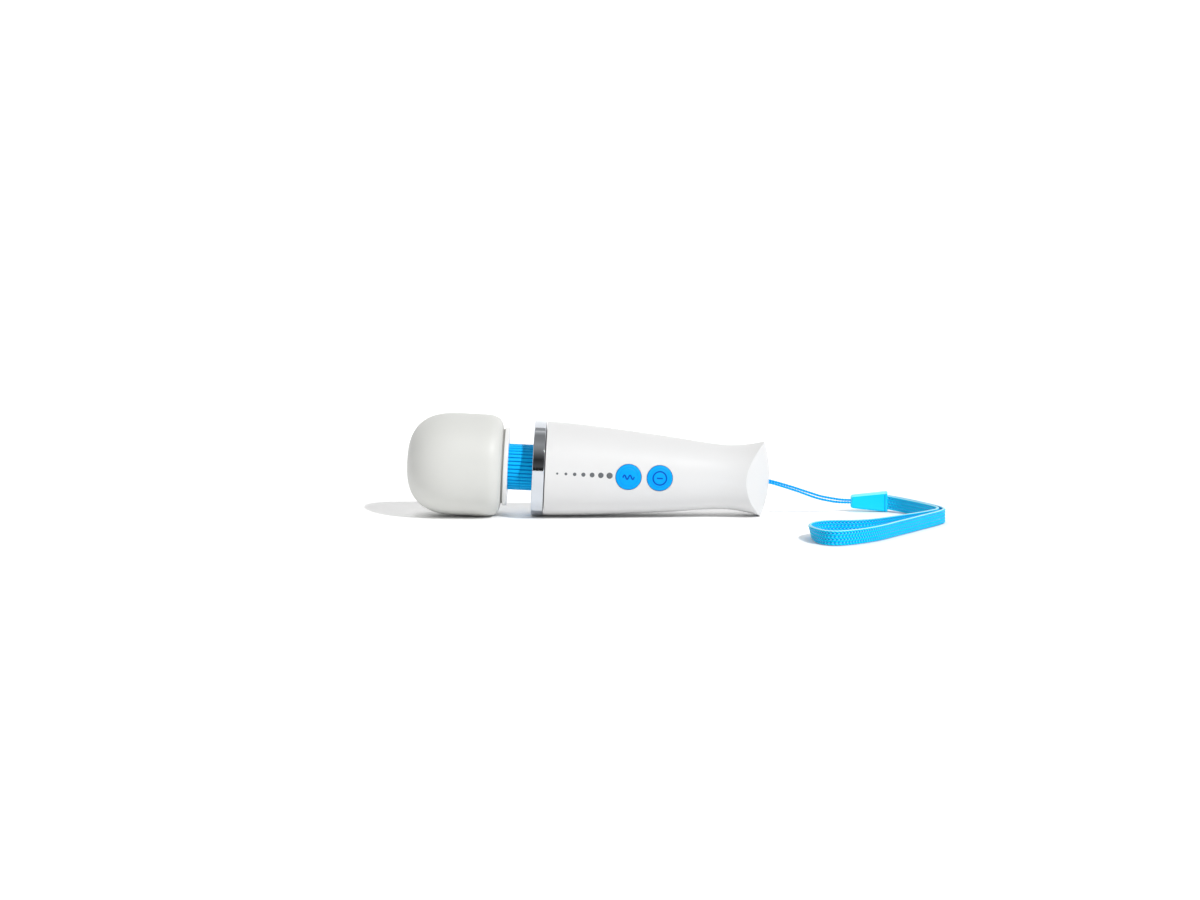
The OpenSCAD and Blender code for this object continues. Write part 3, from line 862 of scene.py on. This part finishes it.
# the braid leans outwards for a short way on each side of its U-turn
BRAID_TURN = Vector((101.6, -84, 3.6))
BRAID_TURN_REACH = 9.0
BRAID_LEAN = math.radians(17)
BEAD_X = (125.9, 143.5)
BEAD_Y = 14.1
BEAD_Z = 5.0
BEAD_NARROW = (1.8, 3.15)
BEAD_WIDE = (2.6, 5.0)
BEAD_CORNER = 1.2
BEAD_NOSE = 1.1
BEAD_COLLAR = 1.8
BEAD_GROOVE = 0.16
BEAD_TOP_EDGE = 0.95


def even_route(points, pitch):
    """The smooth route through points, in steps of one pitch."""
    fine = catmull(points, 24)
    reach = [0.0]
    for a, b in zip(fine, fine[1:]):
        reach.append(reach[-1] + (b - a).length)
    count = max(2, round(reach[-1] / pitch))
    out, j = [], 0
    for i in range(count + 1):
        s = reach[-1] * i / count
        while j < len(fine) - 2 and reach[j + 1] < s:
            j += 1
        t = (s - reach[j]) / (reach[j + 1] - reach[j])
        out.append(fine[j].lerp(fine[j + 1], t))
    return out, reach[-1]


def add_loop_cord(name, node, route):
    """A thin plaited cord: a tube whose surface carries two crossing sets of strands."""
    pitch, sides, lay, depth = 0.11, 32, 1.5, 0.12
    path, length = even_route(route, pitch)
    step = length / (len(path) - 1)
    sunk = []

    def section(i):
        turn = i * step / lay
        out = []
        for k in range(sides):
            a = k / sides
            left = abs(math.sin(math.pi * (2 * a + turn)))
            right = abs(math.sin(math.pi * (2 * a - turn)))
            low = (1 - max(left, right)) ** 1.2
            r = LOOP_D / 2 - depth * low
            # the hollows between the strands take a painted shade
            sunk.append(min(1.0, 1.6 * low))
            out.append((r * math.cos(2 * math.pi * a), r * math.sin(2 * math.pi * a)))
        return out

    points, faces = sweep(path, section)
    o = new_piece(name, points, faces, "cord_blue", TABLE)
    mark(o, "painted_shade", sunk)
    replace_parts(o, node)
    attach(o, "handle")
    return o, [p * MM for p in path], length * MM


def braid_height(u, v):
    """Height, from 0 to 1, of a flat braid's strands at u along and v across, in millimetres."""
    row = (v / BRAID_W + 0.5) * BRAID_ROWS
    across = row - math.floor(row)
    slope = 1.1 if math.floor(row) % 2 == 0 else -1.1
    stitch = u / BRAID_STITCH + slope * (across - 0.5)
    ridge = abs(math.sin(math.pi * stitch)) ** 0.8
    valley = math.sin(math.pi * across) ** 0.9
    return ridge * valley


def braid_gap_glint(u, v):
    """How strongly a point takes the painted highlight at the small gaps between two rows of stitches."""
    row = (v / BRAID_W + 0.5) * BRAID_ROWS
    stitch = u / BRAID_STITCH + 0.5 * (round(row) % 2)
    across = (row - round(row)) * BRAID_W / BRAID_ROWS
    along = (stitch - round(stitch)) * BRAID_STITCH
    return GAP_GLINT * math.exp(-(across / 0.18) ** 2 - (along / 0.25) ** 2)


def add_braid():
    """The flat braid, standing on its edge, with its strands as real relief."""
    pitch, across, edge_steps, edge_r = 0.2, 40, 6, 0.5
    path, length = even_route(BRAID_ROUTE, pitch)
    step = length / (len(path) - 1)
    half_w, half_t = BRAID_W / 2, BRAID_T / 2
    flat = half_w - edge_r
    outline = [(half_t, flat * (2 * k / across - 1)) for k in range(across + 1)]
    for k in range(1, edge_steps):
        a = math.pi / 2 - math.pi * k / edge_steps
        outline.append((half_t * math.sin(a), flat + edge_r * math.cos(a)))
    outline += [(-s, -h) for s, h in outline]
    sunk, rim = [], []
    turn = min(range(len(path)), key=lambda i: (path[i] - BRAID_TURN).length) * step

    def section(i):
        out = []
        lean = BRAID_LEAN * math.exp(-((i * step - turn) / BRAID_TURN_REACH) ** 2)
        c, d = math.cos(lean), math.sin(lean)
        for s, h in outline:
            # the two faces' stitches are half a stitch apart
            u = i * step + (0 if s > 0 else BRAID_STITCH / 2)
            low = 1 - braid_height(u, h)
            # the top edge takes a painted highlight, the gaps between rows of stitches small painted highlights,
            # and the hollows between stitches a painted shade
            gap_glint = braid_gap_glint(u, h)
            rim.append(TOP_EDGE_HIGHLIGHT if h > flat else gap_glint)
            sunk.append(low * (1 - gap_glint))
            if abs(h) <= flat:
                s *= 1 - low * BRAID_RELIEF / half_t
            else:
                s *= 1 - 0.5 * low * BRAID_RELIEF / half_t
                h *= 1 - 0.04 * low
            out.append((s * c - h * d, s * d + h * c))
        return out

    points, faces = sweep(path, section)
    o = new_piece("wrist_strap_braid", points, faces, "braid_blue", TABLE)
    mark(o, "painted_shade", sunk)
    mark(o, "rim", rim)
    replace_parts(o, "wrist_strap")
    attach(o, "handle")
    return o, [p * MM for p in path], length * MM


def bead_section(x, half_y, half_z, corner, steps=10):
    """A rounded rectangle across the bead, as (x, y, z) points."""
    out = []
    for cy, cz, start in ((1, 1, 0), (-1, 1, 90), (-1, -1, 180), (1, -1, 270)):
        for k in range(steps + 1):
            a = math.radians(start + 90 * k / steps)
            out.append((x, BEAD_Y + cy * (half_y - corner) + corner * math.cos(a),
                        BEAD_Z + cz * (half_z - corner) + corner * math.sin(a)))
    return out


def add_bead():
    """The tapered sleeve that joins the loop cord to the braid, hollow at its wide end."""
    x0, x1 = BEAD_X
    rows, sunk, rim = [], [], []

    def row(x, shrink=0.0):
        t = (x - x0) / (x1 - x0)
        half_y, half_z = (a + (b - a) * t - shrink for a, b in zip(BEAD_NARROW, BEAD_WIDE))
        section = bead_section(x, half_y, half_z, max(BEAD_CORNER - shrink, 0.15))
        # the groove takes a painted shade and the top edge a painted highlight
        sunk.extend([1.0 if shrink == BEAD_GROOVE else 0.0] * len(section))
        rim.extend([TOP_EDGE_HIGHLIGHT if z > BEAD_Z + half_z - BEAD_TOP_EDGE else 0.0 for _, _, z in section])
        rows.append(section)

    for k in range(9):
        a = math.pi / 2 * k / 8
        row(x0 + BEAD_NOSE * (1 - math.cos(a)), BEAD_NOSE * (1 - math.sin(a)))
    body = x1 - BEAD_COLLAR - x0 - BEAD_NOSE
    for k in range(1, 25):
        row(x0 + BEAD_NOSE + body * k / 25)
    # a groove before the wide end, then its rounded lip and the hollow behind it
    for back, shrink in ((1.7, 0.0), (1.55, BEAD_GROOVE), (1.2, BEAD_GROOVE), (1.05, 0.0), (0.25, 0.0),
                         (0.07, 0.08), (0.0, 0.25), (0.0, 0.55), (0.1, 0.72), (5.0, 0.8)):
        row(x1 - back, shrink)
    flat = [p for r in rows for p in r]
    count = len(rows[0])
    faces = grid_faces(len(rows), count, closed=True)
    faces.append(tuple(range(count)))
    faces.append(tuple(range((len(rows) - 1) * count, len(rows) * count)))
    o = new_piece("strap_bead_sleeve", flat, faces, "bead_cyan", TABLE)
    mark(o, "painted_shade", sunk)
    mark(o, "rim", rim)
    weld(o)
    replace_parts(o, "strap_bead")
    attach(o, "handle")
    return o


def add_strap():
    """Both strands of the loop cord run into the bead, and so do both ends of the braid."""
    bead = add_bead()
    for name, node, route in (("loop_cord_upper_strand", "loop_cord_upper", UPPER_ROUTE),
                              ("loop_cord_lower_strand", "loop_cord_lower", LOWER_ROUTE)):
        o, path, length = add_loop_cord(name, node, route)
    o, path, length = add_braid()


add_strap()

# the frame's own nodes that show keep their meshes and get rounded edges
for plain in ("screw_plugs", "charge_jack", "neck_mount", "head_gasket"):
    bevel(nodes[plain], 0.12, 40)

# ---- Stage and light ----

SWEEP_FRONT = -5.0
SWEEP_START = 2.0
SWEEP_R = 1.6
SWEEP_TOP = 6.0
SWEEP_HALF = 6.0
PAPER_GLOW = 0.18
CAMERA_GLOW = 0.09
# reach and sharpness of the painted contact shadow on the paper
CONTACT_SHADOW_REACH = 0.008
CONTACT_SHADOW_POWER = 1.6
ROOM_R = 3.0
ROOM_START = -1
ROOM_TURN = 109


def stage_mesh(name, rows, material):
    """A sheet through rows of (y, z), as wide as the sweep, in metres."""
    points = [(x, y, z) for y, z in rows for x in (-SWEEP_HALF, SWEEP_HALF)]
    mesh = bpy.data.meshes.new(name)
    mesh.from_pydata(points, [], grid_faces(len(rows), 2))
    for polygon in mesh.polygons:
        polygon.use_smooth = True
    o = bpy.data.objects.new(name, mesh)
    bpy.context.scene.collection.objects.link(o)
    mesh.materials.append(material)
    return o


def add_sweep():
    """A white studio sweep: floor, curve and back wall in one sheet."""
    rows = [(SWEEP_FRONT, 0), (SWEEP_START, 0)]
    for k in range(1, 25):
        a = math.pi / 2 * k / 24
        rows.append((SWEEP_START + SWEEP_R * math.sin(a), SWEEP_R * (1 - math.cos(a))))
    rows.append((SWEEP_START + SWEEP_R, SWEEP_TOP))
    paper = finish("sweep_paper", (0.9, 0.9, 0.9), 0.9, mottle=0.004, mottle_scale=3, grain=0.02,
                   grain_scale=400)
    shader = paper.node_tree.nodes["Principled BSDF"]
    socket(shader, "Specular IOR Level", 0.0)
    socket(shader, "Emission Color", (1, 1, 1, 1))
    # the paper glows white, more for the camera, and the glow fades near whatever touches it, which paints a
    # contact shadow on the floor
    tree = paper.node_tree
    ray = tree.nodes.new("ShaderNodeLightPath")
    near = tree.nodes.new("ShaderNodeAmbientOcclusion")
    near.inputs["Distance"].default_value = CONTACT_SHADOW_REACH
    near.samples = 8
    glow = tree.nodes.new("ShaderNodeMath")
    glow.operation = "MULTIPLY_ADD"
    glow.inputs[1].default_value = CAMERA_GLOW
    glow.inputs[2].default_value = PAPER_GLOW
    contact_shadow = tree.nodes.new("ShaderNodeMath")
    contact_shadow.operation = "POWER"
    contact_shadow.inputs[1].default_value = CONTACT_SHADOW_POWER
    strength = tree.nodes.new("ShaderNodeMath")
    strength.operation = "MULTIPLY"
    link(tree, ray, "Is Camera Ray", glow, 0)
    link(tree, near, "AO", contact_shadow, 0)
    link(tree, glow, 0, strength, 0)
    link(tree, contact_shadow, 0, strength, 1)
    link(tree, strength, 0, shader, "Emission Strength")
    stage_mesh("sweep", rows, paper)


def add_room():
    """The unlit front of the studio, which only mirrors show."""
    rows = []
    for k in range(33):
        a = math.radians(ROOM_START + ROOM_TURN * k / 32)
        rows.append((-ROOM_R * math.cos(a), ROOM_R * math.sin(a)))
    m = bpy.data.materials.new("room")
    m.use_nodes = True
    tree = m.node_tree
    tree.nodes.remove(tree.nodes["Principled BSDF"])
    place = tree.nodes.new("ShaderNodeTexCoord")
    split = tree.nodes.new("ShaderNodeSeparateXYZ")
    link(tree, place, "Object", split, "Vector")
    angle = tree.nodes.new("ShaderNodeMath")
    angle.operation = "ARCTAN2"
    back = tree.nodes.new("ShaderNodeMath")
    back.operation = "MULTIPLY"
    back.inputs[1].default_value = -1.0
    link(tree, split, "Y", back, 0)
    link(tree, split, "Z", angle, 0)
    link(tree, back, 0, angle, 1)
    share = tree.nodes.new("ShaderNodeMapRange")
    share.inputs["From Max"].default_value = math.radians(ROOM_START + ROOM_TURN)
    link(tree, angle, 0, share, "Value")
    ramp = tree.nodes.new("ShaderNodeValToRGB")
    # brightness from the floor in front, over the top, to the back
    bands = [(0.0, 0.01), (0.05, 0.015), (0.09, 0.09), (0.17, 0.06), (0.25, 0.03), (0.36, 0.12),
             (0.5, 0.28), (0.6, 0.36), (0.72, 0.28), (0.86, 0.26), (0.93, 0.42), (1.0, 0.8)]
    elements = ramp.color_ramp.elements
    elements[0].position, elements[0].color = bands[0][0], (bands[0][1],) * 3 + (1,)
    elements[1].position, elements[1].color = bands[-1][0], (bands[-1][1],) * 3 + (1,)
    for at, level in bands[1:-1]:
        elements.new(at).color = (level, level, level, 1)
    link(tree, share, "Result", ramp, "Fac")
    glow = tree.nodes.new("ShaderNodeEmission")
    link(tree, ramp, "Color", glow, "Color")
    link(tree, glow, "Emission", tree.nodes["Material Output"], "Surface")
    room = stage_mesh("room", rows, m)
    room.visible_camera = False
    room.visible_diffuse = False
    room.visible_shadow = False
    room.visible_transmission = False


def add_sun(elevation, azimuth, power, spread):
    """A hard key light. azimuth turns from +X towards the front."""
    data = bpy.data.lights.new("key", "SUN")
    data.energy = power
    data.angle = math.radians(spread)
    light = bpy.data.objects.new("key", data)
    bpy.context.scene.collection.objects.link(light)
    e, a = math.radians(elevation), math.radians(azimuth)
    towards = Vector((math.cos(e) * math.cos(a), -math.cos(e) * math.sin(a), math.sin(e)))
    light.rotation_euler = (-towards).to_track_quat("-Z", "Y").to_euler()


def add_world(color, strength):
    world = bpy.data.worlds.new("studio")
    world.use_nodes = True
    background = world.node_tree.nodes["Background"]
    background.inputs["Color"].default_value = (*color, 1)
    background.inputs["Strength"].default_value = strength
    bpy.context.scene.world = world


add_sweep()
add_room()
add_sun(elevation=43, azimuth=52, power=2.4, spread=2.5)
add_world(color=(1.0, 1.0, 1.0), strength=0.38)
bpy.context.scene.view_settings.view_transform = "Standard"
